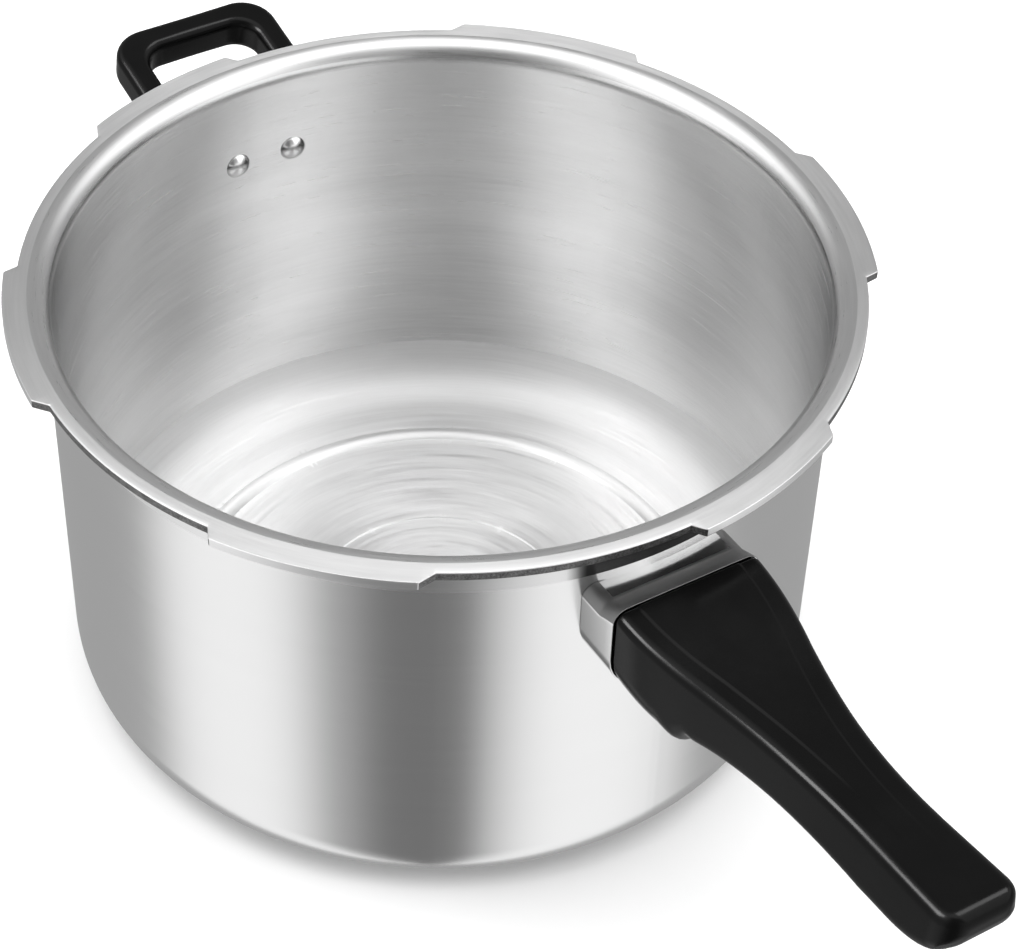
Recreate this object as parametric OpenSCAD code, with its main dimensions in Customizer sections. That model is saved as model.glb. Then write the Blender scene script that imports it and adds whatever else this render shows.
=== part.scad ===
// Body of a stovetop pressure cooker: a spun aluminium pot with a bayonet rim,
// a long side handle with a metal flame guard, and a helper handle opposite it.
// Millimetres. The origin is the centre of the flat underside, +Z is up and
// +X runs along the long handle.

/* [Pot] */
// Inside diameter of the pot
pot_bore = 240; // [236:1:244]
// Height from the underside to the top of the rim
pot_h = 151; // [146:1:160]
// Thickness of the spun wall
wall_t = 2.5; // [2:0.1:3]
// Thickness of the floor
floor_t = 3; // [2.6:0.1:3.6]
// Outside radius where the wall meets the floor
corner_r = 20; // [16:1:24]

/* [Rim] */
// Outside diameter over the bayonet lugs
lug_d = 269; // [266:0.5:272]
// Outside diameter at the notches between the lugs
notch_d = 261.2; // [258:0.2:263]
// Thickness of the flat flange
flange_t = 3.2; // [2.6:0.1:3.6]
// Radius of the lip between the flange and the inside wall
lip_r = 7; // [6:0.5:8]
// Number of bayonet lugs
lugs = 6; // [6]
// Angle that one full lug covers
lug_span = 26; // [22:0.5:30]
// Direction of the first lug's centre, from the long handle
lug_start = 13.6; // [10:0.2:16]
// Angle cut from the leading end of the two opposite entry lugs
entry_cut = 2.1; // [0:0.1:4]
// Height of the reinforced neck below the rim
neck_h = 16; // [13:0.5:18]

/* [Floor] */
// Radius of the crest of the raised ring pressed into the floor
ring_r = 87.7; // [80:0.1:92]
// Height of the raised ring
ring_h = 1.5; // [0.8:0.1:1.8]
// Radius of the shallow panel in the middle of the floor
panel_r = 44; // [36:1:60]
// Depth of the shallow panel
panel_h = 0.5; // [0.3:0.1:0.8]

/* [Long handle] */
// Distance from the pot's axis to the end of the long handle
grip_end = 272; // [266:1:280]
// Half width of the long handle where it meets the flame guard
grip_root = 24.4; // [23:0.2:25]
// Half width of the long handle along the grip
grip_waist = 12.8; // [11.5:0.1:14]
// Distance from the pot's axis to the front face of the grip
grip_front = 136; // [134:0.5:138]
// Drop from the rim to the top of the flame guard
guard_drop = 19.5; // [18.5:0.5:21]
// Wall thickness of the flame guard
guard_t = 1; // [0.8:0.1:1.2]

/* [Helper handle] */
// Outside width of the helper handle
helper_w = 60; // [58:1:66]
// Distance from the pot's axis to the outside of the helper handle
helper_reach = 181; // [176:1:186]
// Width of each arm of the helper handle
helper_arm = 10; // [9.5:0.5:12]
// Thickness of the helper handle
helper_t = 13; // [12:0.5:14]
// Upward tilt of the helper handle
helper_tilt = 12.4; // [8:0.2:14]

/* [Fasteners] */
// Diameter of the rivet shanks
rivet_d = 3.6; // [3.2:0.2:5]
// Diameter of the domed rivet heads
rivet_head_d = 9; // [8:0.5:10]
// Distance between the two helper rivets
helper_rivet_gap = 21; // [18:1:24]
// Thread diameter of the long handle's screw
grip_screw_d = 6; // [5:0.5:6]
// Thread diameter of the helper screws
helper_screw_d = 4; // [3:0.5:4]

/* [Hidden] */
$fn = 96;

far = 400;               // longer than the whole object, for cutters
fit_gap = 0.1;           // clearance round every shank
bore_r = pot_bore / 2;
wall_r = bore_r + wall_t;
neck_r = wall_r + 0.4;
lug_r = lug_d / 2;
notch_r = notch_d / 2;
lip_x = bore_r + lip_r;  // centre of the lip's radius
lip_z = pot_h - lip_r;
fillet_r = lip_x - neck_r;  // between the neck and the flange's underside
inner_corner_r = corner_r - wall_t;
ring_bow = 7.5;          // radius of the raised ring's round top
ring_skin = ring_bow - floor_t;

// Long handle, with heights taken from the flame guard's top
guard_top = pot_h - guard_drop;
guard_bottom = guard_top - 31.5;
guard_lip_top = guard_top + 2.8;
guard_lip_w = 7;                // length of the ramp that rises to the grip
guard_half = grip_root + 0.6;
guard_top_r = 5;
guard_bottom_r = 15;
plate_t = 2.5;
plate_half_angle = 9.5;
plate_top = guard_top - 1.5;
plate_bottom = guard_bottom + 2;
tang_top = guard_top - 13.5;
tang_t = 4;
tang_w = 16;
tang_end = 184;
grip_screw_x = 158;
counterbore_top = guard_bottom + 8.5;
grip_screw_head_d = 11;
grip_screw_head_h = 3.5;
grip_washer_d = 11.6;
grip_washer_t = 1.2;
grip_nut_w = 10;
grip_nut_h = 5;
upper_rivet_z = guard_top - 7;
upper_rivet_angle = 5.6;
lower_rivet_z = guard_bottom + 7;

// Helper handle, with heights taken from the rim
helper_rivet_z = pot_h - 34.6;
helper_rivet_angle = asin(helper_rivet_gap / 2 / bore_r);
helper_top = pot_h - 26.5;      // top of the arms where they reach the wall
helper_corner_r = 12;
helper_inner_corner_r = 8.5;
helper_bar = 10;                // width of the outer bar
helper_plate_t = 1.5;
helper_plate_r = wall_r + helper_plate_t;
helper_plate_top = helper_top - 1;
helper_plate_bottom = helper_top - helper_t - 2.5;
arm_y = (helper_w - helper_arm) / 2;
ear_w = 9.4;
ear_t = 2;
ear_reach = 22;
helper_screw_out = 13;          // screw axis, measured along the tilted arm from the wall
helper_screw_head_d = 7.5;
helper_screw_head_h = 2.6;
helper_washer_d = 9;
helper_washer_t = 0.8;
insert_d = 6.4;
insert_h = 8;

function bezier(p, t) = pow(1 - t, 3) * p[0] + 3 * t * pow(1 - t, 2) * p[1]
                        + 3 * t * t * (1 - t) * p[2] + pow(t, 3) * p[3];
function curve(p, n) = [for (i = [0:n]) bezier(p, i / n)];
function polar(r, a) = [r * cos(a), r * sin(a)];

// ---------------------------------------------------------------- pot

module pot_outside() {
    fillet_z = pot_h - flange_t - fillet_r;
    square([wall_r - corner_r, pot_h]);
    translate([0, corner_r]) square([wall_r, pot_h - corner_r]);
    translate([wall_r - corner_r, corner_r]) circle(corner_r);
    translate([0, pot_h - neck_h]) square([neck_r, neck_h]);
    translate([0, pot_h - flange_t]) square([lug_r, flange_t]);
    difference() {
        translate([0, fillet_z]) square([lip_x, fillet_r + flange_t]);
        translate([lip_x, fillet_z]) circle(fillet_r);
    }
}

module pot_inside() {
    translate([0, floor_t + inner_corner_r]) square([bore_r, far]);
    translate([0, floor_t]) square([bore_r - inner_corner_r, far]);
    translate([bore_r - inner_corner_r, floor_t + inner_corner_r]) circle(inner_corner_r);
    difference() {
        translate([0, lip_z]) square([lip_x, far]);
        translate([lip_x, lip_z]) circle(lip_r);
    }
    translate([0, floor_t - panel_h]) square([panel_r, floor_t]);
}

module pot_profile() {
    intersection() {
        translate([0, -1]) square([far, pot_h + 1]);
        difference() {
            union() {
                difference() {
                    pot_outside();
                    pot_inside();
                }
                intersection() {
                    translate([ring_r, floor_t + ring_h - ring_bow]) circle(ring_bow);
                    translate([0, 0.5]) square([lug_r, floor_t + ring_h]);
                }
            }
            translate([ring_r, floor_t + ring_h - ring_bow]) circle(ring_skin);
        }
    }
}

// Point on the line from p through q, as far past q as q is from p
function beyond(p, q) = 2 * q - p;

// One notch of the bayonet rim, from the end of one lug to the start of the next
module rim_notch(from, to) {
    trail = 1.9;         // degrees that the slanted end of the notch takes up
    lead = 1.2;          // degrees that the steep end takes up
    middle = (from + to) / 2;
    from_tip = polar(lug_r, from);
    to_tip = polar(lug_r, to);
    from_root = polar(notch_r, from + trail);
    to_root = polar(notch_r, to - lead);
    translate([0, 0, lip_z])
        linear_extrude(far)
            difference() {
                polygon([beyond(from_tip, from_root), beyond(from_root, from_tip),
                         polar(lug_r + 20, middle),
                         beyond(to_root, to_tip), beyond(to_tip, to_root),
                         polar(notch_r - 20, middle)]);
                circle(notch_r);
            }
}

module wall_hole(angle, z) {
    rotate([0, 0, angle])
        translate([bore_r - 5, 0, z])
            rotate([0, 90, 0])
                cylinder(d = rivet_d + 2 * fit_gap, h = 15);
}

module pot_body() {
    pitch = 360 / lugs;
    color("silver")
        difference() {
            rotate_extrude() pot_profile();
            for (i = [0:lugs - 1])
                rim_notch(lug_start + i * pitch + lug_span / 2,
                          lug_start + (i + 1) * pitch - lug_span / 2
                          + ((i + 1) % (lugs / 2) == 0 ? entry_cut : 0));
            for (a = [-upper_rivet_angle, upper_rivet_angle]) wall_hole(a, upper_rivet_z);
            wall_hole(0, lower_rivet_z);
            for (a = [-helper_rivet_angle, helper_rivet_angle])
                wall_hole(180 + a, helper_rivet_z);
        }
}

// ---------------------------------------------------------------- rivets

// Half section of a domed head that rises from the X axis to a height
module head_section(rise) {
    dome_r = (pow(rivet_head_d / 2, 2) + rise * rise) / (2 * rise);
    intersection() {
        translate([0, rise - dome_r]) circle(dome_r);
        square([rivet_head_d, rise + 1]);
    }
}

// Rivet through the wall and a plate, along +X from the inside face
module wall_rivet(angle, z, plate) {
    grip = wall_t + plate + 0.4;
    rotate([0, 0, angle])
        translate([bore_r - 0.15, 0, z])
            rotate([0, 90, 0])
                rotate_extrude() {
                    translate([0, -0.01]) square([rivet_d / 2, grip + 0.02]);
                    translate([0, grip]) head_section(2);
                    mirror([0, 1]) head_section(2.3);
                }
}

module handle_rivet_left() { color("gainsboro") wall_rivet(upper_rivet_angle, upper_rivet_z, plate_t); }
module handle_rivet_right() { color("gainsboro") wall_rivet(-upper_rivet_angle, upper_rivet_z, plate_t); }
module handle_rivet_lower() { color("gainsboro") wall_rivet(0, lower_rivet_z, plate_t); }
module helper_rivet_left() {
    color("gainsboro") wall_rivet(180 - helper_rivet_angle, helper_rivet_z, helper_plate_t);
}
module helper_rivet_right() {
    color("gainsboro") wall_rivet(180 + helper_rivet_angle, helper_rivet_z, helper_plate_t);
}

// ---------------------------------------------------------------- long handle

// Plate that is rolled to the wall, between two angles and two heights
module rolled_plate(half_angle, t, bottom, top) {
    intersection() {
        translate([0, 0, bottom])
            linear_extrude(top - bottom)
                difference() {
                    circle(wall_r + t);
                    circle(wall_r);
                }
        linear_extrude(pot_h)
            polygon([[0, 0], polar(far, -half_angle), polar(far, half_angle)]);
    }
}

module handle_bracket() {
    color("lightsteelblue")
        difference() {
            union() {
                intersection() {
                    rolled_plate(plate_half_angle, plate_t, plate_bottom, plate_top);
                    along_handle(bore_r - 6, grip_front) guard_section(guard_t + 0.5, guard_top);
                }
                translate([wall_r + plate_t / 2, -tang_w / 2, tang_top - tang_t])
                    cube([tang_end - wall_r - plate_t / 2, tang_w, tang_t]);
            }
            wall_hole(upper_rivet_angle, upper_rivet_z);
            wall_hole(-upper_rivet_angle, upper_rivet_z);
            wall_hole(0, lower_rivet_z);
            translate([grip_screw_x, 0, 0]) cylinder(d = grip_screw_d + 2 * fit_gap, h = far);
        }
}

// Rounded section of the flame guard: X is across the handle and Y is up
module guard_section(inset, top) {
    half = guard_half - inset;
    low = guard_bottom + inset;
    high = top - inset;
    top_r = guard_top_r - inset;
    low_r = guard_bottom_r - inset;
    translate([-half + low_r, low]) square([2 * (half - low_r), high - low - top_r]);
    translate([-half, low + low_r]) square([2 * half, high - low - low_r - top_r]);
    translate([-half + top_r, high - top_r - 1]) square([2 * (half - top_r), top_r + 1]);
    for (side = [-1, 1]) {
        translate([side * (half - low_r), low + low_r]) circle(low_r);
        translate([side * (half - top_r), high - top_r]) circle(top_r);
    }
}

// Extrudes a section that is drawn across the handle, from one distance to another
module along_handle(from, to) {
    translate([from, 0, 0]) rotate([90, 0, 90]) linear_extrude(to - from) children();
}

// Side view of the ramp by which the flame guard's top rises to the grip
module guard_ramp() {
    rotate([90, 0, 0])
        linear_extrude(far, center = true)
            polygon([[grip_front - guard_lip_w, 0], [grip_front, 0],
                     [grip_front, guard_lip_top], [grip_front - guard_lip_w, guard_top]]);
}

module flame_guard() {
    color("gainsboro")
        difference() {
            union() {
                along_handle(bore_r - 6, grip_front) guard_section(0, guard_top);
                intersection() {
                    along_handle(bore_r, grip_front) guard_section(0, guard_lip_top);
                    guard_ramp();
                }
            }
            along_handle(bore_r - 7, grip_front - guard_t) guard_section(guard_t, guard_top);
            translate([0, -tang_w / 2 - 0.5, tang_top - tang_t - 0.5])
                cube([far, tang_w + 1, tang_t + 1]);
            cylinder(r = wall_r, h = pot_h);
        }
}

// Outline of the grip seen from above, one side only
grip_side = concat(
    curve([[grip_front, grip_root], [170, grip_root + 1.1],
           [180, grip_waist], [232, grip_waist]], 16),
    curve([[244, grip_waist + 0.2], [grip_end - 8, grip_waist + 1.2],
           [grip_end, grip_waist - 1], [grip_end, 4]], 8));

// Outline of the grip seen from the side
grip_profile = concat(
    curve([[grip_front, guard_top + 2.8], [178, guard_top + 0.7],
           [205, guard_top - 2.9], [grip_end - 2, guard_top + 5.3]], 16),
    curve([[grip_end, guard_top + 3.5], [grip_end, guard_top - 8],
           [262, guard_top - 18], [248, guard_top - 19]], 8),
    curve([[236, guard_top - 20.4], [206, guard_top - 21.4],
           [176, guard_top - 20.2], [168, guard_top - 25.4]], 10),
    curve([[163, guard_top - 28.8], [156, guard_top - 31.8],
           [146, guard_top - 32], [grip_front, guard_bottom]], 8));

// Section that rounds the two long lower edges of the grip's deep root
module grip_keel() {
    half = grip_root + 1.5;
    low = guard_bottom - 2.5;
    translate([-half + guard_bottom_r, low]) square([2 * (half - guard_bottom_r), pot_h - low]);
    translate([-half, low + guard_bottom_r]) square([2 * half, pot_h - low - guard_bottom_r]);
    for (side = [-1, 1])
        translate([side * (half - guard_bottom_r), low + guard_bottom_r]) circle(guard_bottom_r);
}

module handle_grip() {
    floor_z = tang_top - tang_t - fit_gap;
    color("#1c1c1c")
        difference() {
            intersection() {
                rotate([90, 0, 0])
                    linear_extrude(2 * grip_root + 10, center = true) polygon(grip_profile);
                linear_extrude(pot_h + 20)
                    polygon(concat(grip_side,
                                   [for (i = [len(grip_side) - 1:-1:0])
                                        [grip_side[i][0], -grip_side[i][1]]]));
                along_handle(grip_front, grip_end + 1) grip_keel();
            }
            translate([grip_front - 1, -tang_w / 2 - fit_gap, floor_z])
                cube([tang_end - grip_front + 1.5, tang_w + 2 * fit_gap, tang_t + 2 * fit_gap]);
            translate([grip_screw_x, 0, 0]) {
                cylinder(d = grip_screw_d + 2 * fit_gap, h = tang_top + 9);
                cylinder(d = grip_washer_d + 4 * fit_gap, h = counterbore_top);
                translate([0, 0, tang_top - tang_t])
                    cylinder(d = grip_nut_w / cos(30) + 4 * fit_gap, h = tang_t + grip_nut_h + 0.5);
            }
        }
}

module handle_screw() {
    head_z = counterbore_top - grip_washer_t - grip_screw_head_h;
    color("gray")
        translate([grip_screw_x, 0, head_z])
            difference() {
                union() {
                    cylinder(d = grip_screw_head_d, h = grip_screw_head_h);
                    cylinder(d = grip_screw_d, h = tang_top + grip_nut_h + 2 - head_z);
                }
                translate([-grip_screw_head_d, -0.7, -1]) cube([2 * grip_screw_head_d, 1.4, 2.4]);
            }
}

module handle_washer() {
    color("darkgray")
        translate([grip_screw_x, 0, counterbore_top - grip_washer_t])
            difference() {
                cylinder(d = grip_washer_d, h = grip_washer_t);
                translate([0, 0, -1]) cylinder(d = grip_screw_d + 2 * fit_gap, h = 5);
            }
}

module handle_nut() {
    color("darkgray")
        translate([grip_screw_x, 0, tang_top])
            difference() {
                cylinder(d = grip_nut_w / cos(30), h = grip_nut_h, $fn = 6);
                translate([0, 0, -1]) cylinder(d = grip_screw_d + 2 * fit_gap, h = grip_nut_h + 2);
            }
}

// ---------------------------------------------------------------- helper handle

// Puts its children in the tilted plane of the helper handle: X is the distance out
// from the wall along the arms and Z = 0 is their top face
module helper_plane() {
    translate([-wall_r, 0, helper_top])
        rotate([0, helper_tilt, 0])
            mirror([1, 0, 0])
                children();
}

helper_length = (helper_reach - wall_r) / cos(helper_tilt);

// A rectangle from x = -20 outwards with its two far corners rounded
module rounded_end(length, width, r) {
    translate([-20, -width / 2]) square([length + 20 - r, width]);
    translate([-20, -width / 2 + r]) square([length + 20, width - 2 * r]);
    for (side = [-1, 1])
        translate([length - r, side * (width / 2 - r)]) circle(r);
}

module helper_grip() {
    color("#1c1c1c")
        difference() {
            helper_plane()
                difference() {
                    translate([0, 0, -helper_t])
                        linear_extrude(helper_t)
                            difference() {
                                rounded_end(helper_length, helper_w, helper_corner_r);
                                rounded_end(helper_length - helper_bar,
                                            helper_w - 2 * helper_arm, helper_inner_corner_r);
                            }
                    for (side = [-1, 1])
                        translate([helper_screw_out, side * arm_y, -helper_t - 1])
                            cylinder(d = insert_d + 2 * fit_gap, h = insert_h + 1);
                }
            cylinder(r = helper_plate_r + fit_gap, h = 2 * pot_h);
        }
}

module helper_bracket() {
    half_angle = asin((helper_w / 2 - 1) / wall_r);
    color("silver")
        difference() {
            union() {
                rotate([0, 0, 180])
                    rolled_plate(half_angle, helper_plate_t, helper_plate_bottom, helper_plate_top);
                difference() {
                    helper_plane()
                        for (side = [-1, 1])
                            translate([-10, side * arm_y - ear_w / 2, -helper_t - ear_t])
                                cube([ear_reach + 10, ear_w, ear_t]);
                    cylinder(r = wall_r + helper_plate_t / 2, h = 2 * pot_h);
                }
            }
            for (a = [-helper_rivet_angle, helper_rivet_angle])
                wall_hole(180 + a, helper_rivet_z);
            helper_plane()
                for (side = [-1, 1])
                    translate([helper_screw_out, side * arm_y, -helper_t - 10])
                        cylinder(d = helper_screw_d + 2 * fit_gap, h = 20);
        }
}

module helper_screw(side) {
    under = -helper_t - ear_t - helper_washer_t;
    color("gray")
        helper_plane()
            translate([helper_screw_out, side * arm_y, under])
                difference() {
                    union() {
                        translate([0, 0, -helper_screw_head_h])
                            cylinder(d = helper_screw_head_d, h = helper_screw_head_h);
                        cylinder(d = helper_screw_d, h = ear_t + helper_washer_t + insert_h - 1);
                    }
                    translate([-helper_screw_head_d, -0.5, -helper_screw_head_h - 1])
                        cube([2 * helper_screw_head_d, 1, 2.2]);
                }
}

module helper_washer(side) {
    color("darkgray")
        helper_plane()
            translate([helper_screw_out, side * arm_y, -helper_t - ear_t - helper_washer_t])
                difference() {
                    cylinder(d = helper_washer_d, h = helper_washer_t);
                    translate([0, 0, -1]) cylinder(d = helper_screw_d + 2 * fit_gap, h = 3);
                }
}

module helper_insert(side) {
    color("goldenrod")
        helper_plane()
            translate([helper_screw_out, side * arm_y, -helper_t])
                difference() {
                    cylinder(d = insert_d, h = insert_h);
                    translate([0, 0, -1]) cylinder(d = helper_screw_d + 2 * fit_gap, h = insert_h + 2);
                }
}

module helper_screw_left() { helper_screw(-1); }
module helper_screw_right() { helper_screw(1); }
module helper_washer_left() { helper_washer(-1); }
module helper_washer_right() { helper_washer(1); }
module helper_insert_left() { helper_insert(-1); }
module helper_insert_right() { helper_insert(1); }

pot_body();
handle_bracket();
handle_rivet_left();
handle_rivet_right();
handle_rivet_lower();
flame_guard();
handle_grip();
handle_screw();
handle_washer();
handle_nut();
helper_bracket();
helper_rivet_left();
helper_rivet_right();
helper_grip();
helper_screw_left();
helper_screw_right();
helper_washer_left();
helper_washer_right();
helper_insert_left();
helper_insert_right();
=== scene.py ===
# Looks of the open pressure cooker pot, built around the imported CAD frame.
# Metres throughout, +Z up, +X along the long handle.
import math

import bmesh
import bpy
from mathutils import Matrix, Vector


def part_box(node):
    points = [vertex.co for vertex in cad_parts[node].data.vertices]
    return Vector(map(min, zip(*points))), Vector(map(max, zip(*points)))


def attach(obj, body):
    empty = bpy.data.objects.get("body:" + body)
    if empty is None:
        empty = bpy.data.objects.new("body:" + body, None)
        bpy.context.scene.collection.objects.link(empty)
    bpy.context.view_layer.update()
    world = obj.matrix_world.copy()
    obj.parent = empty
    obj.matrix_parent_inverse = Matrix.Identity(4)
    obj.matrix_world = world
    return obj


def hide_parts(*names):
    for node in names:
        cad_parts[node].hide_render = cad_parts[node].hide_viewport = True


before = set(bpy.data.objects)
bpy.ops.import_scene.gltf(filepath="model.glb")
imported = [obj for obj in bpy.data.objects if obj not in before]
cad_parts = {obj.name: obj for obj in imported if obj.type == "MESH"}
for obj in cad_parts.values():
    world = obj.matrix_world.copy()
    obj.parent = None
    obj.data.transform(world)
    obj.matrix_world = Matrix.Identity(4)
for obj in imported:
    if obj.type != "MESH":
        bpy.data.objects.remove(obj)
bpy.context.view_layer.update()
MM = 0.001

# ------------------------------------------------------------------ driving sizes
grip_low, grip_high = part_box("handle_grip")

POT_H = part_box("pot_body")[1][2]
BORE_R = 120 * MM
WALL_T = 2.5 * MM
WALL_R = BORE_R + WALL_T
NECK_R = WALL_R + 0.4 * MM
NECK_Z = POT_H - 16 * MM
CORNER_R = 20 * MM
FLOOR_T = 3 * MM
LIP_R = 7 * MM
FLANGE_T = 3.2 * MM
LUG_R = 134.5 * MM
NOTCH_R = 130.6 * MM
LUG_COUNT = 6
LUG_SPAN = 26.0          # degrees
LUG_START = 13.6         # centre of the first lug, degrees from the long handle
ENTRY_CUT = 2.1          # degrees cut from two opposite lugs
RING_R = 87.7 * MM       # pressed ring in the floor
PANEL_R = 44 * MM        # sunk panel in its middle
SHANK_R = 1.8 * MM       # of the rivets
HEAD_R = 4.5 * MM
UPPER_ANGLE = 5.6        # of the long handle's upper rivets, degrees
HELPER_ANGLE = 5.02      # of the helper handle's rivets, degrees

GRIP_FRONT = grip_low[0]
GRIP_END = grip_high[0]
PANEL_END = 250 * MM     # where the panel on the grip's top fades out
GUARD_TOP = POT_H - 19.5 * MM
GUARD_BOTTOM = GUARD_TOP - 31.5 * MM

HELPER_TILT = math.radians(12.4)
HELPER_TOP = POT_H - 25.8 * MM
HELPER_T = 13 * MM
HELPER_W = 60 * MM
HELPER_SIDE = 0.6 * MM   # it sits a little off the centre line
HELPER_ARM = 9.4 * MM
HELPER_BAR = 10 * MM
HELPER_REACH = 181 * MM


# ------------------------------------------------------------------ mesh helpers
def arc(cx, cz, r, start, end, steps):
    """Points on a circle from one angle to another, in degrees, both ends included."""
    angles = [math.radians(start + (end - start) * i / steps) for i in range(steps + 1)]
    return [(cx + r * math.cos(a), cz + r * math.sin(a)) for a in angles]


def bezier(points, steps):
    """Points on a cubic curve, both ends included."""
    a, b, c, d = [Vector(p) for p in points]
    out = []
    for i in range(steps + 1):
        t = i / steps
        p = a * (1 - t) ** 3 + b * 3 * t * (1 - t) ** 2 + c * 3 * t * t * (1 - t) + d * t ** 3
        out.append(tuple(p))
    return out


def sample(points, x):
    """Height of a polyline at x."""
    for (x0, y0), (x1, y1) in zip(points, points[1:]):
        if x0 <= x <= x1:
            return y0 + (y1 - y0) * (x - x0) / max(x1 - x0, 1e-9)
    return points[0][1] if x < points[0][0] else points[-1][1]


def rounded_outline(corners, steps):
    """Closed outline whose corners (x, y, radius) are replaced by arcs."""
    out = []
    n = len(corners)
    for i, (x, y, r) in enumerate(corners):
        here = Vector((x, y))
        to_last = (Vector(corners[i - 1][:2]) - here)
        to_next = (Vector(corners[(i + 1) % n][:2]) - here)
        half = to_last.angle(to_next) / 2
        reach = min(r / math.tan(half), 0.49 * to_last.length, 0.49 * to_next.length)
        r = reach * math.tan(half)
        to_last.normalize()
        to_next.normalize()
        centre = here + (to_last + to_next).normalized() * (r / math.sin(half))
        first = here + to_last * reach - centre
        last = here + to_next * reach - centre
        sweep = first.angle_signed(last)
        for k in range(steps + 1):
            turn = Matrix.Rotation(-sweep * k / steps, 2)
            out.append(tuple(centre + turn @ first))
    return out


def add_object(name, bm, *materials):
    """Turns a bmesh into a smooth-shaded object that carries the materials."""
    bmesh.ops.recalc_face_normals(bm, faces=bm.faces)
    mesh = bpy.data.meshes.new(name)
    bm.to_mesh(mesh)
    bm.free()
    for face in mesh.polygons:
        face.use_smooth = True
    for material in materials:
        mesh.materials.append(material)
    obj = bpy.data.objects.new(name, mesh)
    bpy.context.scene.collection.objects.link(obj)
    return obj


def even_normals(obj):
    """Keeps wide faces flat in shading, so that roundings alone carry the gradients."""
    mod = obj.modifiers.new("even_normals", "WEIGHTED_NORMAL")
    mod.keep_sharp = True
    mod.weight = 80


def loft(bm, rings, closed=False):
    """Skins rings of equal length with quads and returns their vertices."""
    verts = [[bm.verts.new(p) for p in ring] for ring in rings]
    pairs = list(zip(verts, verts[1:])) + ([(verts[-1], verts[0])] if closed else [])
    for a, b in pairs:
        for i in range(len(a)):
            j = (i + 1) % len(a)
            bm.faces.new((a[i], a[j], b[j], b[i]))
    return verts


def lathe(bm, profile, steps, place):
    """Spins a profile of (radius, height) points and puts each point with place()."""
    rings = []
    for r, h in profile:
        if r < 1e-7:
            rings.append([bm.verts.new(place(Vector((0, 0, h))))])
            continue
        ring = []
        for i in range(steps):
            a = 2 * math.pi * i / steps
            ring.append(bm.verts.new(place(Vector((r * math.cos(a), r * math.sin(a), h)))))
        rings.append(ring)
    for a, b in zip(rings, rings[1:]):
        for i in range(steps):
            j = (i + 1) % steps
            quad = [a[i % len(a)], a[j % len(a)], b[j % len(b)], b[i % len(b)]]
            corners = []
            for v in quad:
                if v not in corners:
                    corners.append(v)
            if len(corners) > 2:
                bm.faces.new(corners)


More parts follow.
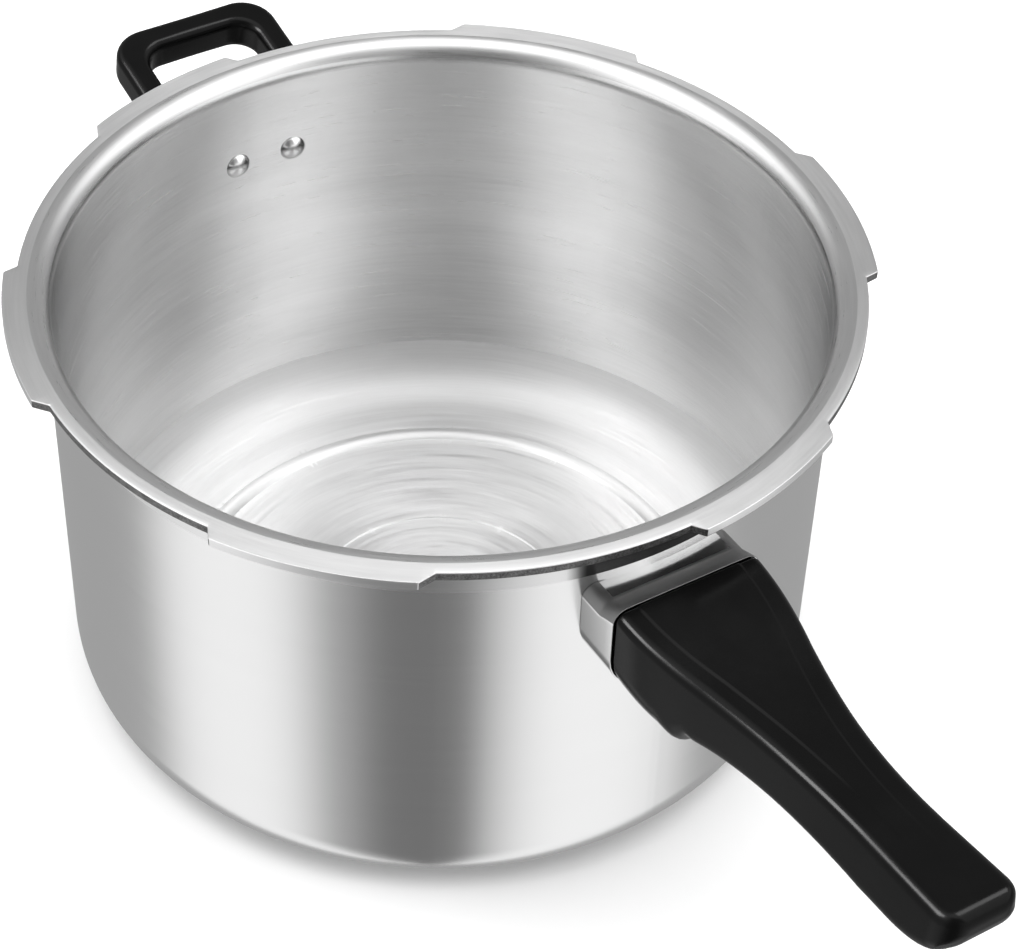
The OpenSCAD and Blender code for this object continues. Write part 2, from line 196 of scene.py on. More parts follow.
# ------------------------------------------------------------------ materials
class Graph:
    """A material's node tree with short ways to add nodes."""

    def __init__(self, name):
        self.material = bpy.data.materials.new(name)
        self.material.use_nodes = True
        self.nodes = self.material.node_tree.nodes
        self.links = self.material.node_tree.links
        self.shader = self.nodes["Principled BSDF"]

    def add(self, kind, **settings):
        node = self.nodes.new(kind)
        for key, value in settings.items():
            setattr(node, key, value)
        return node

    def put(self, target, value):
        if isinstance(value, bpy.types.NodeSocket):
            self.links.new(value, target)
        else:
            target.default_value = value

    def math(self, operation, a, b=0.0):
        node = self.add("ShaderNodeMath", operation=operation)
        self.put(node.inputs[0], a)
        self.put(node.inputs[1], b)
        return node.outputs[0]

    def object_coords(self):
        return self.add("ShaderNodeTexCoord").outputs["Object"]

    def noise(self, vector, scale, detail=3.0, roughness=0.55):
        node = self.add("ShaderNodeTexNoise")
        self.put(node.inputs["Vector"], vector)
        node.inputs["Scale"].default_value = scale
        node.inputs["Detail"].default_value = detail
        node.inputs["Roughness"].default_value = roughness
        return node.outputs["Fac"]

    def span(self, value, low, high, from_low=0.0, from_high=1.0):
        node = self.add("ShaderNodeMapRange")
        self.put(node.inputs["Value"], value)
        node.inputs["From Min"].default_value = from_low
        node.inputs["From Max"].default_value = from_high
        node.inputs["To Min"].default_value = low
        node.inputs["To Max"].default_value = high
        return node.outputs["Result"]

    def blend_colours(self, factor, first, second):
        node = self.add("ShaderNodeMix", data_type="RGBA")
        self.put(node.inputs["Factor"], factor)
        node.inputs["A"].default_value = (*first, 1)
        node.inputs["B"].default_value = (*second, 1)
        return node.outputs["Result"]

    def paint_gap_shade(self, colour, amount):
        """Paints shade into a colour: darker in tight gaps, by ambient occlusion, and in a band above the
        flame guard, where the flange and the guard shade the neck.
        """
        shade = self.add("ShaderNodeAmbientOcclusion", samples=12)
        shade.inputs["Distance"].default_value = 0.04
        open_share = self.span(shade.outputs["AO"], 1.0 - amount, 1.0, 0.44, 0.60)
        split = self.add("ShaderNodeSeparateXYZ")
        self.links.new(self.object_coords(), split.inputs[0])
        beside = self.math("ABSOLUTE", split.outputs[1])
        behind = self.span(split.outputs[0], 1.0, 0.0, 0.0, 0.05)
        clear = self.math("MAXIMUM", self.span(beside, 1.0 - amount, 1.0, 0.024, 0.030), behind)
        open_share = self.math("MULTIPLY", open_share, clear)
        node = self.add("ShaderNodeMix", data_type="RGBA", blend_type="MULTIPLY")
        node.inputs["Factor"].default_value = 1.0
        self.links.new(colour, node.inputs["A"])
        self.links.new(open_share, node.inputs["B"])
        return node.outputs["Result"]

    def bump(self, height, strength, distance):
        node = self.add("ShaderNodeBump")
        self.put(node.inputs["Height"], height)
        node.inputs["Strength"].default_value = strength
        node.inputs["Distance"].default_value = distance
        return node.outputs["Normal"]

    def spun_coords(self, along, across):
        """Coordinates that run slowly round the pot's axis and fast across the tool marks."""
        split = self.add("ShaderNodeSeparateXYZ")
        self.links.new(self.object_coords(), split.inputs[0])
        x, y, z = split.outputs
        radius = self.math("SQRT", self.math("ADD", self.math("MULTIPLY", x, x),
                                             self.math("MULTIPLY", y, y)))
        safe = self.math("MAXIMUM", radius, 0.001)
        join = self.add("ShaderNodeCombineXYZ")
        self.links.new(self.math("MULTIPLY", self.math("DIVIDE", x, safe), along), join.inputs[0])
        self.links.new(self.math("MULTIPLY", self.math("DIVIDE", y, safe), along), join.inputs[1])
        self.links.new(self.math("MULTIPLY", self.math("ADD", z, radius), across), join.inputs[2])
        return join.outputs[0]


def spun_aluminium(name, grey, rough, aniso, mark, strokes=4.0, pitch=900.0, gap_shade=0.0):
    """Lathe-spun aluminium: fine rings round the axis in bump, roughness and tone.

    mark is how strong the tool marks are, strokes how often they break off, pitch how fine they are.
    """
    g = Graph(name)
    s = g.shader
    s.inputs["Metallic"].default_value = 1.0
    s.inputs["Anisotropic"].default_value = aniso
    s.inputs["Anisotropic Rotation"].default_value = 0.25
    tangent = g.add("ShaderNodeTangent", direction_type="RADIAL", axis="Z")
    g.links.new(tangent.outputs[0], s.inputs["Tangent"])
    fine = g.noise(g.spun_coords(strokes, pitch), 1.0, 4.0, 0.65)
    broad = g.noise(g.spun_coords(strokes * 0.4, pitch * 0.12), 1.0, 2.0, 0.5)
    tone = g.math("ADD", g.math("MULTIPLY", fine, 0.6), g.math("MULTIPLY", broad, 0.4))
    dark = (grey * (1 - 0.5 * mark),) * 3
    light = (min(1.0, grey * (1 + 0.35 * mark)),) * 3
    metal = g.blend_colours(g.span(tone, 0, 1, 0.3, 0.7), dark, light)
    # Painted shade: the colour darkens in tight gaps and above the flame guard.
    if gap_shade:
        metal = g.paint_gap_shade(metal, gap_shade)
    g.links.new(metal, s.inputs["Base Color"])
    g.links.new(g.span(fine, rough - 0.4 * mark, rough + 0.6 * mark, 0.25, 0.75), s.inputs["Roughness"])
    g.links.new(g.bump(fine, 0.5 * mark, 0.0002), s.inputs["Normal"])
    return g.material


def cut_edge(name):
    """Sheared edge of the flange: rough and granular, with its grey painted dark as shade, for an edge in
    shadow that mirrors dark things.
    """
    g = Graph(name)
    s = g.shader
    s.inputs["Metallic"].default_value = 1.0
    grain = g.noise(g.object_coords(), 1600.0, 3.0, 0.7)
    patch = g.noise(g.object_coords(), 260.0, 2.0, 0.5)
    mix = g.math("ADD", g.math("MULTIPLY", grain, 0.7), g.math("MULTIPLY", patch, 0.3))
    # Painted shade: the edge's grey is kept far below the aluminium's own.
    g.links.new(g.blend_colours(g.span(mix, 0, 1, 0.35, 0.65), (0.09, 0.09, 0.09), (0.34, 0.34, 0.34)),
                s.inputs["Base Color"])
    g.links.new(g.span(grain, 0.4, 0.65), s.inputs["Roughness"])
    g.links.new(g.bump(grain, 0.6, 0.0003), s.inputs["Normal"])
    return g.material


def plated(name, colour, rough, wear=0.04):
    """Smooth plated steel with faint polishing haze."""
    g = Graph(name)
    s = g.shader
    s.inputs["Metallic"].default_value = 1.0
    haze = g.noise(g.object_coords(), 90.0, 3.0, 0.6)
    fine = g.noise(g.object_coords(), 900.0, 2.0, 0.5)
    g.links.new(g.blend_colours(haze, tuple(c * (1 - wear) for c in colour), colour),
                s.inputs["Base Color"])
    g.links.new(g.span(haze, rough * 0.7, rough * 1.4), s.inputs["Roughness"])
    g.links.new(g.bump(fine, 0.04, 0.0001), s.inputs["Normal"])
    return g.material


def phenolic(name, tone, rough):
    """Moulded black phenolic: glossy, with a faint flow mottle."""
    g = Graph(name)
    s = g.shader
    s.inputs["IOR"].default_value = 1.5
    s.inputs["Specular IOR Level"].default_value = 0.11
    flow = g.noise(g.object_coords(), 35.0, 4.0, 0.6)
    orange = g.noise(g.object_coords(), 260.0, 2.0, 0.5)
    g.links.new(g.blend_colours(flow, (tone * 0.85,) * 3, (tone * 1.2,) * 3), s.inputs["Base Color"])
    g.links.new(g.span(flow, rough * 0.8, rough * 1.3, 0.3, 0.7), s.inputs["Roughness"])
    g.links.new(g.bump(orange, 0.03, 0.0002), s.inputs["Normal"])
    return g.material


OUTSIDE = spun_aluminium("aluminium_outside", 0.90, 0.22, 0.6, 0.03, strokes=2.0, pitch=700.0)
INSIDE = spun_aluminium("aluminium_inside", 0.90, 0.20, 0.55, 0.18)
TURN = spun_aluminium("aluminium_turn", 0.95, 0.50, 0.75, 0.14, strokes=3.0, pitch=800.0)
# The pot floor's grey is lighter than the walls': painted light that brightens the floor.
FLOOR = spun_aluminium("aluminium_floor", 0.97, 0.42, 0.85, 0.28, strokes=1.5, pitch=560.0)
RIM = spun_aluminium("aluminium_rim", 0.90, 0.42, 0.8, 0.12, strokes=6.0, pitch=1100.0)
# The lip's grey is lower than the other aluminium: painted shade that tones down the highlight of the
# overhead soft box on it.
LIP = spun_aluminium("aluminium_lip", 0.75, 0.30, 0.6, 0.14, strokes=6.0, pitch=1100.0)
# The neck's colour carries painted shade: darker in tight gaps and above the flame guard.
NECK = spun_aluminium("aluminium_neck", 0.90, 0.34, 0.8, 0.10, strokes=6.0, pitch=1100.0, gap_shade=0.9)
CUT = cut_edge("aluminium_cut")
CHROME = plated("chrome", (0.90, 0.90, 0.90), 0.08)
# Dark, rough copy of the chrome for the guard's ramp and top corners: its low grey is painted shade and
# painted dark reflection, where these faces mirror the shaded neck.
PAINTED_SHADE_CHROME = plated("chrome_painted_shade", (0.36, 0.36, 0.36), 0.48, 0.3)
SATIN = plated("chrome_satin", (0.68, 0.68, 0.68), 0.16, 0.16)
RIVET = plated("rivet_polish", (0.92, 0.92, 0.92), 0.16)
ZINC = plated("zinc", (0.62, 0.63, 0.65), 0.30, 0.12)
SHEET = plated("bracket_sheet", (0.68, 0.68, 0.69), 0.38, 0.10)
BRASS = plated("brass", (0.74, 0.55, 0.24), 0.28, 0.10)
BLACK = phenolic("black_phenolic", 0.002, 0.2)


# ------------------------------------------------------------------ pot
def notches():
    """(first, last) angle of each notch between two lugs, in degrees."""
    pitch = 360.0 / LUG_COUNT
    out = []
    for i in range(LUG_COUNT):
        first = LUG_START + i * pitch + LUG_SPAN / 2
        last = LUG_START + (i + 1) * pitch - LUG_SPAN / 2
        if (i + 1) % (LUG_COUNT // 2) == 0:
            last += ENTRY_CUT
        out.append((first, last))
    return out


NOTCHES = notches()
SLANT = 1.9              # degrees of the slanted end of a notch
STEEP = 1.2              # degrees of its steep end


def notch_depth(angle):
    """0 on a lug, 1 in a notch, and between on the notch's slanted ends."""
    for first, last in NOTCHES:
        a = (angle - first) % 360.0
        width = last - first
        if a < width:
            return min(1.0, a / SLANT, (width - a) / STEEP)
    return 0.0


def rim_radius(angle):
    """Outer radius of the flange, with slightly eased corners."""
    ease = 0.12
    mean = sum(notch_depth(angle + ease * k) for k in (-1, -0.5, 0, 0.5, 1)) / 5
    return LUG_R + (NOTCH_R - LUG_R) * mean


def pot_angles():
    """Even steps round the pot, with close ones at the corners of the notches."""
    angles = {round(1.5 * i, 3) for i in range(240)}
    for first, last in NOTCHES:
        for corner in (first, first + SLANT, last - STEEP, last):
            angles = {a for a in angles if abs((a - corner + 180) % 360 - 180) > 0.3}
            angles |= {round((corner + d) % 360, 3) for d in (-0.24, -0.12, 0, 0.12, 0.24)}
    return sorted(angles)


def pot_profile():
    """(radius, height, radius counts from the rim's edge, finish of the next band)."""
    inner_r = CORNER_R - WALL_T
    lip_x = BORE_R + LIP_R
    fillet = lip_x - NECK_R
    bevel = 0.3 * MM
    step = 0.25 * MM
    flange_mid, flange_out = 128.5 * MM, 129.8 * MM
    drop = 0.32 * MM           # the flange's top slopes down to its edge
    ring_rise = 1.5 * MM
    groove_r, ridge_r = 4.5 * MM, 4.15 * MM
    sink = 0.5 * MM
    points = []

    def fixed(pairs, finish):
        points.extend((r, z, False, finish) for r, z in pairs)

    fixed([(0, 0), (20 * MM, 0), (60 * MM, 0), (84 * MM, 0)], "outside")
    fixed(arc(RING_R, ring_rise - groove_r, groove_r, 138, 42, 10), "outside")
    fixed([(92 * MM, 0), (98 * MM, 0)], "outside")
    fixed(arc(WALL_R - CORNER_R, CORNER_R, CORNER_R, -90, 0, 28), "outside")
    wall_steps = 12
    low, high = CORNER_R, NECK_Z - step
    fixed([(WALL_R, low + (high - low) * i / wall_steps) for i in range(1, wall_steps + 1)], "outside")
    fixed([(WALL_R + 0.05 * MM, NECK_Z - 0.1 * MM), (NECK_R - 0.08 * MM, NECK_Z + 0.12 * MM),
           (NECK_R, NECK_Z + step), (NECK_R, NECK_Z + 4 * MM)], "neck")
    fixed(arc(lip_x, POT_H - FLANGE_T - fillet, fillet, 180, 90, 10), "neck")
    fixed([(flange_mid, POT_H - FLANGE_T), (flange_out, POT_H - FLANGE_T)], "neck")
    for r, z, finish in ((-bevel, -FLANGE_T, "edge"), (-0.08 * MM, -FLANGE_T + 0.08 * MM, "edge"),
                         (0, -FLANGE_T + bevel, "edge"), (0, -drop - bevel, "rim"),
                         (-0.08 * MM, -drop - 0.08 * MM, "rim"), (-bevel, -drop, "rim")):
        points.append((r, POT_H + z, True, finish))
    fixed([(flange_out, POT_H - 0.14 * MM), (flange_mid, POT_H - 0.06 * MM)], "rim")
    lip = arc(lip_x, POT_H - LIP_R, LIP_R, 90, 180, 16)
    fixed(lip[:11], "lip")
    fixed(lip[11:], "inside")
    low, high = FLOOR_T + inner_r, POT_H - LIP_R
    fixed([(BORE_R, high + (low - high) * i / wall_steps) for i in range(1, wall_steps)], "inside")
    fixed(arc(BORE_R - inner_r, FLOOR_T + inner_r, inner_r, 0, -90, 24), "turn")
    fixed([(98 * MM, FLOOR_T), (93.2 * MM, FLOOR_T)], "floor")
    fixed(arc(RING_R, FLOOR_T + ring_rise - ridge_r, ridge_r, 38, 142, 18), "floor")
    fixed([(r * MM, FLOOR_T) for r in (82, 70, 56)], "floor")
    panel_step = ((2, 0), (0.24, 0), (0.18, 0.12), (0.1, 0.28),
                  (-0.1, 0.72), (-0.18, 0.88), (-0.24, 1), (-2, 1))
    fixed([(PANEL_R + out * MM, FLOOR_T - share * sink) for out, share in panel_step], "floor")
    fixed([(r * MM, FLOOR_T - sink) for r in (34, 18, 6, 0)], "floor")
    return points


def build_pot():
    slots = {"outside": 0, "inside": 1, "rim": 2, "cut": 3, "floor": 4, "neck": 5, "turn": 6,
             "lip": 7}
    angles = pot_angles()
    edge = [rim_radius(a) for a in angles]
    depth = [(LUG_R - r) / (LUG_R - NOTCH_R) for r in edge]
    turn = [(math.cos(math.radians(a)), math.sin(math.radians(a))) for a in angles]
    bm = bmesh.new()
    rings = []
    profile = pot_profile()
    for r, z, on_edge, _ in profile:
        if r == 0 and not on_edge:
            rings.append([bm.verts.new((0, 0, z))])
            continue
        ring = []
        for (c, s), e in zip(turn, edge):
            radius = e + r if on_edge else r
            ring.append(bm.verts.new((radius * c, radius * s, z)))
        rings.append(ring)
    count = len(angles)
    for k, (a, b) in enumerate(zip(rings, rings[1:])):
        finish = profile[k][3]
        for i in range(count):
            j = (i + 1) % count
            if len(a) == 1:
                face = bm.faces.new((a[0], b[j], b[i]))
            elif len(b) == 1:
                face = bm.faces.new((a[i], a[j], b[0]))
            else:
                face = bm.faces.new((a[i], a[j], b[j], b[i]))
            kind = finish
            if finish == "edge":
                kind = "cut" if max(depth[i], depth[j]) > 0.02 else "rim"
            face.material_index = slots[kind]
    pot = add_object("pot_shell", bm, OUTSIDE, INSIDE, RIM, CUT, FLOOR, NECK, TURN, LIP)
    even_normals(pot)
    return pot


# ------------------------------------------------------------------ rivets
def build_rivet(name, angle, height, plate):
    """Shank with a smooth domed head inside the pot and a formed head outside."""
    shank = WALL_T + plate + 0.4 * MM

    def dome(rise, start, way):
        r = (HEAD_R ** 2 + rise ** 2) / (2 * rise)
        half = math.degrees(math.asin(HEAD_R / r))
        pts = arc(0, rise - r, r, 90, 90 - half, 14)
        return [(max(x, 0.0), start + way * h) for x, h in pts]

    inner = dome(2.3 * MM, 0.0, -1)
    outer = dome(2.0 * MM, shank, 1)
    inner[0] = (0.0, inner[0][1])
    outer[0] = (0.0, outer[0][1])
    profile = inner + [(SHANK_R, 0.0), (SHANK_R, shank)] + outer[::-1]
    spin = Matrix.Rotation(math.radians(angle), 4, "Z")
    tip = Matrix.Rotation(math.radians(90), 4, "Y")
    spot = spin @ Matrix.Translation((BORE_R - 0.15 * MM, 0, height)) @ tip
    bm = bmesh.new()
    lathe(bm, profile, 48, lambda p: spot @ p)
    return add_object(name, bm, RIVET)


# ------------------------------------------------------------------ long handle
def grip_curves():
    """Half width, top and bottom of the grip as polylines over x."""
    w0, w1 = 24.4 * MM, 13.2 * MM        # half widths at the root and along the grip
    side = bezier([(GRIP_FRONT, w0), (170 * MM, w0 + 1.1 * MM), (180 * MM, w1), (232 * MM, w1)], 32)
    side += bezier([(240 * MM, w1 + 0.15 * MM), (250 * MM, w1 + 0.5 * MM),
                    (262 * MM, w1 + 0.9 * MM), (GRIP_END, w1 + 0.9 * MM)], 12)
    top = bezier([(GRIP_FRONT, GUARD_TOP + 2.8 * MM), (178 * MM, GUARD_TOP + 0.7 * MM),
                  (205 * MM, GUARD_TOP - 2.9 * MM), (GRIP_END, GUARD_TOP + 5.3 * MM)], 40)
    bottom = bezier([(GRIP_FRONT, GUARD_BOTTOM), (146 * MM, GUARD_TOP - 33.6 * MM),
                     (156 * MM, GUARD_TOP - 34.6 * MM), (162 * MM, GUARD_TOP - 30.6 * MM)], 14)
    bottom += bezier([(166 * MM, GUARD_TOP - 24.6 * MM), (173 * MM, GUARD_TOP - 18.6 * MM),
                      (206 * MM, GUARD_TOP - 21.2 * MM), (236 * MM, GUARD_TOP - 20.2 * MM)], 24)
    bottom += bezier([(248 * MM, GUARD_TOP - 18.8 * MM), (262 * MM, GUARD_TOP - 17 * MM),
                      (270 * MM, GUARD_TOP - 11 * MM), (GRIP_END, GUARD_TOP - 1.5 * MM)], 24)
    return side, top, bottom


def grip_section(x, curves, inset):
    """Rounded section of the grip at x with a raised top panel, shrunk by an inset."""
    side, top, bottom = [sample(c, x) for c in curves]
    corner, crown = 8 * MM, 5 * MM       # roundings of the free end, seen from above and the side
    if x > GRIP_END - corner:
        side -= corner - math.sqrt(max(0.0, corner ** 2 - (x - GRIP_END + corner) ** 2))
    if x > GRIP_END - crown:
        top -= crown - math.sqrt(max(0.0, crown ** 2 - (x - GRIP_END + crown) ** 2))
    side -= inset
    top -= inset
    bottom += inset
    height = top - bottom
    fade = min(1.0, max(0.0, (PANEL_END - x) / (PANEL_END - GRIP_FRONT)))    # 1 at the root
    edge = min((7.4 - 0.9 * fade) * MM, 0.45 * height, 0.55 * side)
    shoulder = edge + 0.2 * MM
    lean = 1.8 * MM * min(1.0, max(0.0, (x - GRIP_FRONT) / (35 * MM))) * min(1.0, side / (10 * MM))
    upper = side - lean
    step = (0.02 + 0.35 * min(1.0, 3 * fade)) * MM       # height of the top panel
    deep = min(1.0, max(0.0, (170 * MM - x) / (16 * MM)))
    belly = min((6 + 10 * deep) * MM, 0.45 * height, 0.65 * side)
    half = [(upper - shoulder - 0.9 * MM, top, 1.0 * MM), (upper - shoulder, top - step, 0.8 * MM),
            (upper, top - step, edge), (side, bottom, belly)]
    corners = half + [(-y, z, r) for y, z, r in half[::-1]]
    return [(x, y, z) for y, z in rounded_outline(corners[::-1], 7)]


def build_grip():
    curves = grip_curves()
    rings = []
    lead = 1.2 * MM
    for k in range(5):
        a = math.radians(90 * k / 4)
        rings.append(grip_section(GRIP_FRONT + lead * (1 - math.cos(a)), curves,
                                  lead * (1 - math.sin(a))))
    body_steps, end_steps = 70, 16
    start, stop = GRIP_FRONT + lead, GRIP_END - 9 * MM
    for i in range(1, body_steps + 1):
        rings.append(grip_section(start + (stop - start) * i / body_steps, curves, 0))
    for i in range(1, end_steps + 1):
        a = math.radians(90 * i / end_steps)
        rings.append(grip_section(stop + (GRIP_END - stop) * math.sin(a), curves, 0))
    bm = bmesh.new()
    verts = loft(bm, rings)
    bm.faces.new(verts[0])
    bm.faces.new(verts[-1])
    grip = add_object("grip_long", bm, BLACK)
    even_normals(grip)
    return grip


# ------------------------------------------------------------------ flame guard
def guard_section(x, half, top, low_r, top_r, bottom):
    """Rounded rectangle across the sleeve at x."""
    corners = [(half, top, top_r), (half, bottom, low_r), (-half, bottom, low_r), (-half, top, top_r)]
    return [(x, y, z) for y, z in rounded_outline(corners[::-1], 8)]


def build_guard():
    """Sheet-metal sleeve: its top is almost flat, then ramps up to the grip."""
    half, skin = 25.0 * MM, 1.0 * MM
    ramp = GRIP_FRONT - 7 * MM
    lip_top = GUARD_TOP + 2.8 * MM
    stations = [(ramp - 0.8 * MM, GUARD_TOP + 0.22 * MM), (ramp - 0.2 * MM, GUARD_TOP + 0.26 * MM),
                (ramp + 0.5 * MM, GUARD_TOP + 0.42 * MM), (ramp + 3.5 * MM, GUARD_TOP + 1.6 * MM),
                (GRIP_FRONT - 0.2 * MM, lip_top), (GRIP_FRONT, lip_top - 0.1 * MM)]
    low_r, top_r = 15 * MM, 5 * MM

    def inner_section(x, top):
        return guard_section(x, half - skin, top - skin, low_r - skin, top_r - skin, GUARD_BOTTOM + skin)

    def on_wall(ring, gap):
        return [(math.sqrt((WALL_R + gap) ** 2 - y * y), y, z) for _, y, z in ring]

    outer_wall = guard_section(0, half, GUARD_TOP, low_r, top_r, GUARD_BOTTOM)
    rings = [on_wall(inner_section(0, GUARD_TOP), 0.05 * MM),
             on_wall(outer_wall, 0.05 * MM), on_wall(outer_wall, 0.4 * MM)]
    for x, top in stations:
        pinch = 0.1 * MM if x == GRIP_FRONT else 0.0
        rings.append(guard_section(x, half - pinch, top, low_r, top_r, GUARD_BOTTOM + pinch))
    rings += [inner_section(GRIP_FRONT, lip_top), inner_section(ramp, GUARD_TOP)]
    bm = bmesh.new()
    loft(bm, rings, closed=True)
    guard = add_object("guard_shell", bm, CHROME, PAINTED_SHADE_CHROME, SATIN)
    # Top faces: the ramp and the rounded corners take the dark chrome, which is painted shade; the flat
    # top takes the satin chrome.
    for face in guard.data.polygons:
        if face.normal.z > 0.2 and face.center.z > GUARD_TOP - 4 * MM:
            painted_shade_face = face.center.x > ramp - 1.2 * MM or abs(face.center.y) > half - top_r
            face.material_index = 1 if painted_shade_face else 2
    even_normals(guard)
    return guard


# ------------------------------------------------------------------ helper handle
def helper_point(out, across, up):
    """From the tilted plane of the helper handle to the shared frame."""
    c, s = math.cos(HELPER_TILT), math.sin(HELPER_TILT)
    return (-WALL_R - out * c + up * s, across, HELPER_TOP + out * s + up * c)


def build_helper():
    """Loop of two arms and a bar: a rounded section swept between an outer and an inner outline."""
    length = (HELPER_REACH - WALL_R) / math.cos(HELPER_TILT)
    half = HELPER_W / 2
    inner_half = half - HELPER_ARM
    outer_r, inner_r = 12 * MM, 8.5 * MM
    inner_end = length - HELPER_BAR
    plate_r = WALL_R + 1.6 * MM          # outside of the helper bracket's plate
    arm_steps, turn_steps, bar_steps = 10, 14, 10
    pairs = []
    for i in range(arm_steps):
        t = i / arm_steps
        pairs.append(((t * (length - outer_r), -half), (t * (inner_end - inner_r), -inner_half)))
    for i in range(turn_steps):
        a = math.radians(-90 + 90 * i / turn_steps)
        pairs.append(((length - outer_r + outer_r * math.cos(a), -half + outer_r + outer_r * math.sin(a)),
                      (inner_end - inner_r + inner_r * math.cos(a),
                       -inner_half + inner_r + inner_r * math.sin(a))))
    for i in range(bar_steps + 1):
        t = i / bar_steps
        pairs.append(((length, (half - outer_r) * (2 * t - 1)),
                      (inner_end, (inner_half - inner_r) * (2 * t - 1))))
    mirrored = [tuple((u, -v) for u, v in pair) for pair in reversed(pairs[:arm_steps + turn_steps])]
    pairs += mirrored
    rings = []
    soft, belly = 3.2 * MM, 3.5 * MM     # upper and lower edge radii
    for index, (outer, inner) in enumerate(pairs):
        p_in, p_out = Vector(inner), Vector(outer)
        width = (p_out - p_in).length
        e = (p_out - p_in) / width
        corners = [(0, 0, soft), (0, -HELPER_T, belly), (width, -HELPER_T, belly), (width, 0, soft)]
        ring = []
        for t, up in rounded_outline(corners, 8):
            q = p_in + e * t
            out = q.x
            if index in (0, len(pairs) - 1):
                reach = math.sqrt(plate_r ** 2 - q.y ** 2)
                out = (reach - WALL_R + up * math.sin(HELPER_TILT)) / math.cos(HELPER_TILT)
            ring.append(helper_point(out, q.y + HELPER_SIDE, up))
        rings.append(ring)
    bm = bmesh.new()
    verts = loft(bm, rings)
    bm.faces.new(verts[0])
    bm.faces.new(verts[-1])
    helper = add_object("grip_helper", bm, BLACK)
    even_normals(helper)
    return helper


# ------------------------------------------------------------------ assembly
def stand_in(obj, node):
    """Puts a piece on the one body, in place of its CAD node."""
    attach(obj, "root")
    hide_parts(node)


stand_in(build_pot(), "pot_body")
stand_in(build_guard(), "flame_guard")
stand_in(build_grip(), "handle_grip")
stand_in(build_helper(), "helper_grip")
# angle round the pot, height, thickness of the bracket plate
RIVETS = {
    "handle_rivet_left": (UPPER_ANGLE, GUARD_TOP - 7 * MM, 2.5 * MM),
    "handle_rivet_right": (-UPPER_ANGLE, GUARD_TOP - 7 * MM, 2.5 * MM),
    "handle_rivet_lower": (0, GUARD_BOTTOM + 7 * MM, 2.5 * MM),
    "helper_rivet_left": (180 - HELPER_ANGLE, POT_H - 34.6 * MM, 1.5 * MM),
    "helper_rivet_right": (180 + HELPER_ANGLE, POT_H - 34.6 * MM, 1.5 * MM),
}
for node, (angle, height, plate) in RIVETS.items():
    stand_in(build_rivet(node + "_dome", angle, height, plate), node)

FINISH = {
    "handle_bracket": SHEET, "helper_bracket": SHEET, "handle_screw": ZINC, "handle_washer": ZINC,
    "handle_nut": ZINC, "helper_screw_left": ZINC, "helper_screw_right": ZINC,
    "helper_washer_left": ZINC, "helper_washer_right": ZINC,
    "helper_insert_left": BRASS, "helper_insert_right": BRASS,
}
for node, material in FINISH.items():
    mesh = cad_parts[node].data
    mesh.materials.clear()
    mesh.materials.append(material)


# ------------------------------------------------------------------ studio
def build_floor():
    """Plain pale floor, just below the pot."""
    bm = bmesh.new()
    size = 3.0
    steps = 24
    grid = [[bm.verts.new((size * (2 * i / steps - 1), size * (2 * j / steps - 1), -0.0002))
             for j in range(steps + 1)] for i in range(steps + 1)]
    for i in range(steps):
        for j in range(steps):
            bm.faces.new((grid[i][j], grid[i + 1][j], grid[i + 1][j + 1], grid[i][j + 1]))
    g = Graph("pale_floor")
    g.shader.inputs["Base Color"].default_value = (0.9, 0.9, 0.9, 1)
    g.shader.inputs["Roughness"].default_value = 0.9
    floor = add_object("floor", bm, g.material)
    floor.visible_glossy = False


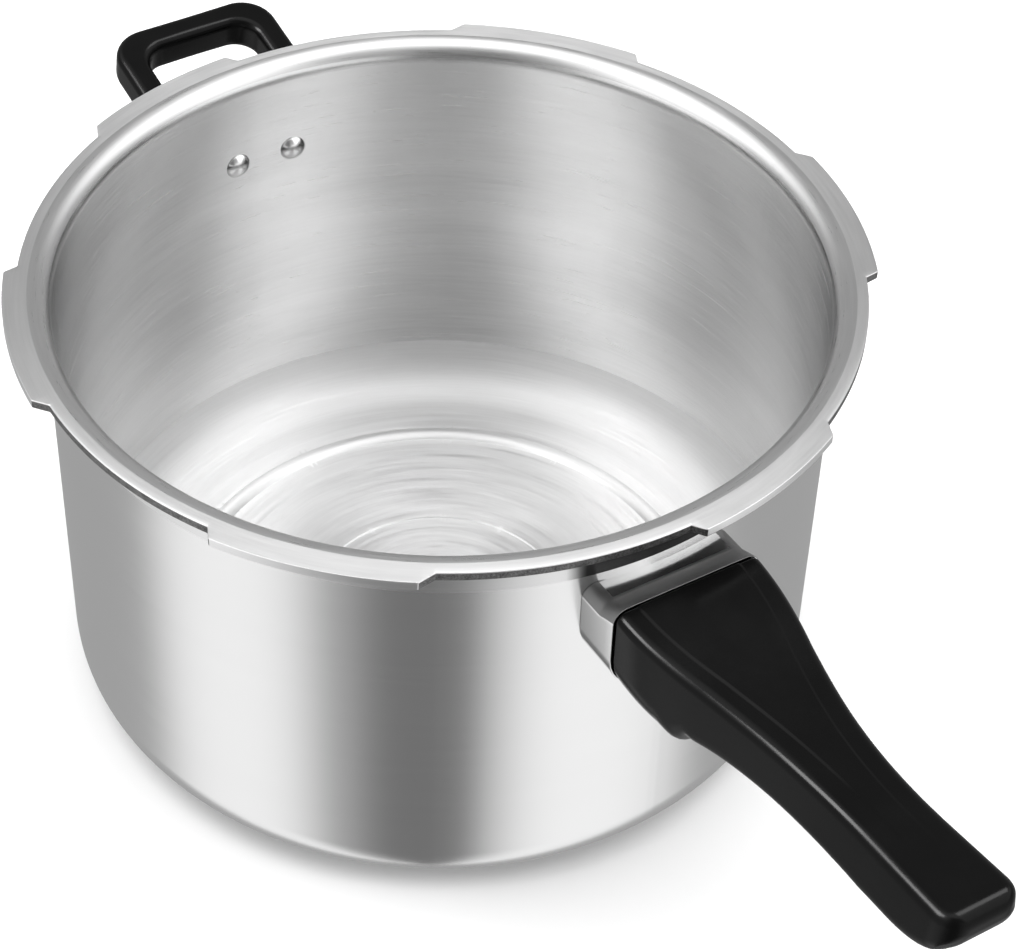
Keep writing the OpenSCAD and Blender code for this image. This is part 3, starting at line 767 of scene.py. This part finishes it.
def build_world():
    """Grey studio: tall soft boxes on two sides, a dark gap between them and a ceiling.

    The outer wall reflects the low pair of soft boxes and the inside the high pair. One more soft
    box overhead lights only what is seen directly, so that it brightens the pot's floor and
    doesn't wash out the far wall, which mirrors that floor.
    """
    world = bpy.data.worlds.new("studio")
    bpy.context.scene.world = world
    world.use_nodes = True
    nodes, links = world.node_tree.nodes, world.node_tree.links

    def step(kind, operation, *values):
        node = nodes.new(kind)
        node.operation = operation
        for socket, value in zip(node.inputs, values):
            if isinstance(value, bpy.types.NodeSocket):
                links.new(value, socket)
            else:
                socket.default_value = value
        return node

    def fade(value, low, high, start, end):
        node = nodes.new("ShaderNodeMapRange")
        node.interpolation_type = "SMOOTHSTEP"
        links.new(value, node.inputs["Value"])
        for name, number in (("From Min", low), ("From Max", high), ("To Min", start), ("To Max", end)):
            node.inputs[name].default_value = number
        return node.outputs["Result"]

    ray = nodes.new("ShaderNodeTexCoord").outputs["Generated"]
    level = step("ShaderNodeVectorMath", "MULTIPLY", ray, (1, 1, 0)).outputs[0]
    compass = step("ShaderNodeVectorMath", "NORMALIZE", level).outputs[0]
    split = nodes.new("ShaderNodeSeparateXYZ")
    links.new(ray, split.inputs[0])
    height = split.outputs[2]

    def card(azimuth, inner, outer, strength, total):
        """Adds a vertical band of light that fades from inner to outer degrees off its centre."""
        a = math.radians(azimuth)
        dot = step("ShaderNodeVectorMath", "DOT_PRODUCT", compass, (math.cos(a), math.sin(a), 0))
        band = fade(dot.outputs["Value"], math.cos(math.radians(outer)),
                    math.cos(math.radians(inner)), 0.0, strength)
        return step("ShaderNodeMath", "ADD", band, total).outputs[0]

    low = card(20, 0, 43, 0.62, card(-97, 0, 37, 0.60, 0.37))
    high = card(60, 0, 60, 1.45, card(-118, 0, 58, 1.45, 0.37))
    rise = step("ShaderNodeMath", "SUBTRACT", high, low).outputs[0]
    share = fade(height, 0.20, 0.52, 0.0, 1.0)
    light = step("ShaderNodeMath", "MULTIPLY_ADD", rise, share, low).outputs[0]
    light = card(-37, 0, 24, -0.20, light)
    ceiling = fade(height, 0.88, 0.98, 0.0, 1.0)
    lower = step("ShaderNodeMath", "SUBTRACT", 1.0, ceiling).outputs[0]
    light = step("ShaderNodeMath", "MULTIPLY", light, lower).outputs[0]
    light = step("ShaderNodeMath", "MULTIPLY_ADD", ceiling, 0.6, light).outputs[0]
    softbox = fade(height, math.cos(math.radians(32)), math.cos(math.radians(6)), 0.0, 1.75)
    depth = nodes.new("ShaderNodeLightPath").outputs["Ray Depth"]
    first = step("ShaderNodeMath", "LESS_THAN", depth, 2.5).outputs[0]
    light = step("ShaderNodeMath", "MULTIPLY_ADD", softbox, first, light).outputs[0]
    nodes["Background"].inputs["Color"].default_value = (1, 1, 1, 1)
    links.new(light, nodes["Background"].inputs["Strength"])


def build_lights():
    """One broad overhead light for the floor, which the metal doesn't mirror."""
    data = bpy.data.lights.new("overhead", "AREA")
    data.shape = "SQUARE"
    data.size = 3.0
    data.energy = 60
    lamp = bpy.data.objects.new("overhead", data)
    lamp.location = (0, 0, 2.5)
    lamp.visible_glossy = False
    lamp.visible_camera = False
    bpy.context.scene.collection.objects.link(lamp)


def build_handle_lights():
    """Two strip lights that only the black mouldings catch, for their edge lines."""
    black = bpy.data.collections.new("black_mouldings")
    for name in ("grip_long", "grip_helper"):
        black.objects.link(bpy.data.objects[name])
    for name, azimuth, elevation, across, tall, power in (
            ("strip_left", -121, 37, 0.6, 0.6, 30), ("strip_back", 95, 62, 0.6, 0.6, 10)):
        data = bpy.data.lights.new(name, "AREA")
        data.shape = "RECTANGLE"
        data.size, data.size_y = across, tall
        data.energy = power
        lamp = bpy.data.objects.new(name, data)
        a, e = math.radians(azimuth), math.radians(elevation)
        away = Vector((math.cos(e) * math.cos(a), math.cos(e) * math.sin(a), math.sin(e)))
        lamp.location = Vector((0.1, 0, 0.12)) + away * 1.6
        lamp.rotation_euler = away.to_track_quat("Z", "Y").to_euler()
        lamp.visible_camera = False
        lamp.light_linking.receiver_collection = black
        bpy.context.scene.collection.objects.link(lamp)


def build_camera():
    """Looks down at the pot past the long handle, from the front right."""
    target = Vector((0.0429, 0.0, 0.1))
    azimuth, elevation = math.radians(-33.0), math.radians(43.207)
    roll = math.radians(2.24)
    distance = 0.8676
    back = Vector((math.cos(elevation) * math.cos(azimuth),
                   math.cos(elevation) * math.sin(azimuth), math.sin(elevation)))
    level = Vector((-math.sin(azimuth), math.cos(azimuth), 0))
    upright = back.cross(level)
    right = level * math.cos(roll) + upright * math.sin(roll)
    up = back.cross(right)
    data = bpy.data.cameras.new("camera")
    data.lens = 98.244
    data.sensor_width = 36
    camera = bpy.data.objects.new("camera", data)
    turn = Matrix((right, up, back)).transposed().to_4x4()
    camera.matrix_world = Matrix.Translation(target + back * distance) @ turn
    bpy.context.scene.collection.objects.link(camera)
    bpy.context.scene.camera = camera


build_floor()
build_world()
build_lights()
build_handle_lights()
build_camera()
bpy.context.scene.view_settings.view_transform = "Standard"
